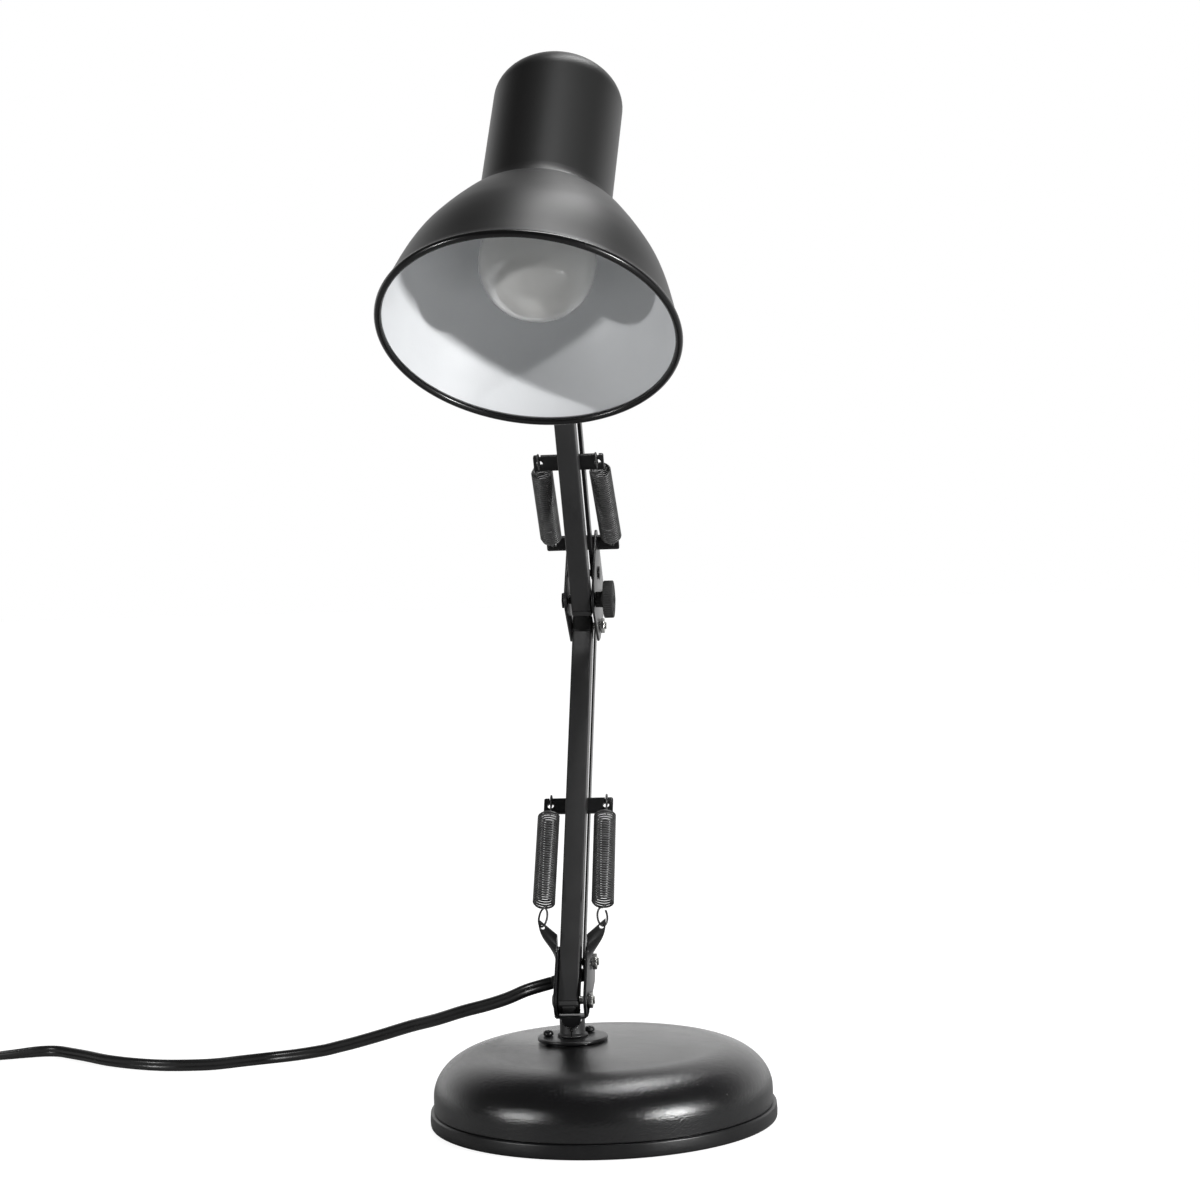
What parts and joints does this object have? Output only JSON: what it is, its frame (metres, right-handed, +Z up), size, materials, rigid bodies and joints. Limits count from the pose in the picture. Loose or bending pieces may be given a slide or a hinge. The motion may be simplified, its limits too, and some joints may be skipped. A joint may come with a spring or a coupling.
{
  "type": "desk lamp",
  "caption": "Desk lamp: weighted round base, spring-balanced parallelogram arms of square tube, and a black bell shade that tilts and swivels.",
  "frame": {"origin": "centre of the round base's underside, on the table", "axes": "+Z up; -Y is the side that the shade opens to; +X is to the right as seen from that side, and both arms fold in the YZ plane"},
  "size_m": [0.6006, 0.386, 0.5194],
  "materials": {
    "gloss_black": "black gloss paint with a light orange peel",
    "satin_black": "satin black paint",
    "shade_paint": "satin black outside, white inside",
    "dark_tube": "dark grey satin paint",
    "zinc": "bright zinc plated steel",
    "spring_steel": "bright drawn spring wire",
    "iron": "rough casting",
    "black_plastic": "black moulded plastic",
    "cord_black": "black flexible PVC",
    "black_rubber": "black rubber",
    "opal": "opal bulb envelope"
  },
  "bodies": {
    "base": {"base_ring": "gloss_black", "base_dome": "gloss_black", "base_weight": "iron", "bottom_plate": "satin_black", "base_pad": "black_rubber", "swivel_flange": "satin_black", "flange_screw_1": "satin_black", "flange_screw_2": "satin_black", "swivel_spigot": "zinc", "cord_free": "cord_black", "cord_table": "cord_black", "cord_coil": "cord_black", "cord_tie": "black_plastic", "plug_body": "black_plastic", "plug_pin_left": "zinc", "plug_pin_right": "zinc"},
    "foot": {"swivel_sleeve": "dark_tube", "foot_yoke": "satin_black", "foot_front_bolt": "zinc", "foot_front_nut": "zinc", "foot_rear_bolt": "zinc", "foot_rear_nut": "zinc", "strain_relief": "black_rubber"},
    "lower_arm": {"lower_tube": "dark_tube", "lower_tube_cap": "black_plastic", "lower_crossbar": "satin_black", "lower_spring_left": "spring_steel", "lower_spring_right": "spring_steel"},
    "lower_rear_link": {"lower_link": "satin_black"},
    "elbow": {"elbow_plate_left": "satin_black", "elbow_plate_right": "satin_black", "elbow_crossbar": "satin_black", "elbow_lower_bolt": "zinc", "elbow_lower_nut": "zinc", "elbow_rear_bolt": "zinc", "elbow_rear_nut": "zinc", "elbow_upper_bolt": "zinc", "elbow_upper_nut": "zinc", "elbow_knob_nut": "zinc"},
    "knob": {"elbow_knob": "black_plastic"},
    "upper_arm": {"upper_tube": "dark_tube", "upper_tube_cap": "black_plastic", "upper_crossbar": "satin_black", "upper_spring_left": "spring_steel", "upper_spring_right": "spring_steel"},
    "upper_rear_link": {"upper_link": "satin_black"},
    "head": {"head_bracket": "satin_black", "head_front_bolt": "zinc", "head_rear_bolt": "zinc", "head_stud": "zinc"},
    "head_swivel": {"swivel_barrel": "satin_black"},
    "tilt_screw": {"tilt_knob": "black_plastic"},
    "shade": {"shade": "shade_paint", "shade_strap": "satin_black", "bulb_globe": "opal", "bulb_cap": "zinc", "lampholder": "black_plastic", "holder_nipple": "zinc", "switch_body": "black_plastic"},
    "button": {"switch_button": "black_plastic"}
  },
  "joints": [
    {"name": "foot_swivel", "type": "hinge", "parent": "base", "child": "foot", "pos_m": [-0.0152, 0.0075, 0.044], "axis": [0, 0, 1], "range_deg": [-120, 120], "deforming": ["cord_free"]},
    {"name": "lower_arm_hinge", "type": "hinge", "parent": "foot", "child": "lower_arm", "pos_m": [-0.0152, 0.0065, 0.058], "axis": [1, 0, 0], "range_deg": [-3, 50], "deforming": ["lower_spring_left", "lower_spring_right"]},
    {"name": "lower_link_hinge", "type": "hinge", "parent": "foot", "child": "lower_rear_link", "pos_m": [-0.0152, 0.033, 0.0726], "axis": [1, 0, 0], "range_deg": [-3, 50]},
    {"name": "elbow_hinge", "type": "hinge", "parent": "lower_arm", "child": "elbow", "pos_m": [-0.0152, 0.13581, 0.23796], "axis": [1, 0, 0], "range_deg": [-50, 3]},
    {"name": "elbow_knob_turn", "type": "hinge", "parent": "elbow", "child": "knob", "pos_m": [-0.0152, 0.11251, 0.25316], "axis": [1, 0, 0], "continuous": true},
    {"name": "upper_arm_hinge", "type": "hinge", "parent": "elbow", "child": "upper_arm", "pos_m": [-0.0152, 0.11251, 0.25316], "axis": [1, 0, 0], "range_deg": [-14, 54], "deforming": ["upper_spring_left", "upper_spring_right"]},
    {"name": "upper_link_hinge", "type": "hinge", "parent": "elbow", "child": "upper_rear_link", "pos_m": [-0.0152, 0.13431, 0.26676], "axis": [1, 0, 0], "range_deg": [-14, 54]},
    {"name": "head_hinge", "type": "hinge", "parent": "upper_arm", "child": "head", "pos_m": [-0.0152, 0.00847, 0.42979], "axis": [1, 0, 0], "range_deg": [-54, 14]},
    {"name": "head_turn", "type": "hinge", "parent": "head", "child": "head_swivel", "pos_m": [-0.0152, -0.002, 0.4495], "axis": [0, 0, 1], "range_deg": [-45, 45]},
    {"name": "shade_tilt", "type": "hinge", "parent": "head_swivel", "child": "shade", "pos_m": [-0.00051, -0.00365, 0.4495], "axis": [0.9937, -0.1116, 0], "range_deg": [-50, 30]},
    {"name": "tilt_knob_turn", "type": "hinge", "parent": "head_swivel", "child": "tilt_screw", "pos_m": [0.00347, -0.0041, 0.4495], "axis": [0.9937, -0.1116, 0], "continuous": true},
    {"name": "switch_press", "type": "slide", "parent": "shade", "child": "button", "axis": [-0.0914, -0.8137, 0.574], "range_m": [0, 0.0015], "stiffness_N_per_m": 250}
  ],
  "couplings": [
    {"joint": "lower_link_hinge", "follows": "lower_arm_hinge", "ratio": 1},
    {"joint": "elbow_hinge", "follows": "lower_arm_hinge", "ratio": -1},
    {"joint": "upper_link_hinge", "follows": "upper_arm_hinge", "ratio": 1},
    {"joint": "head_hinge", "follows": "upper_arm_hinge", "ratio": -1}
  ]
}
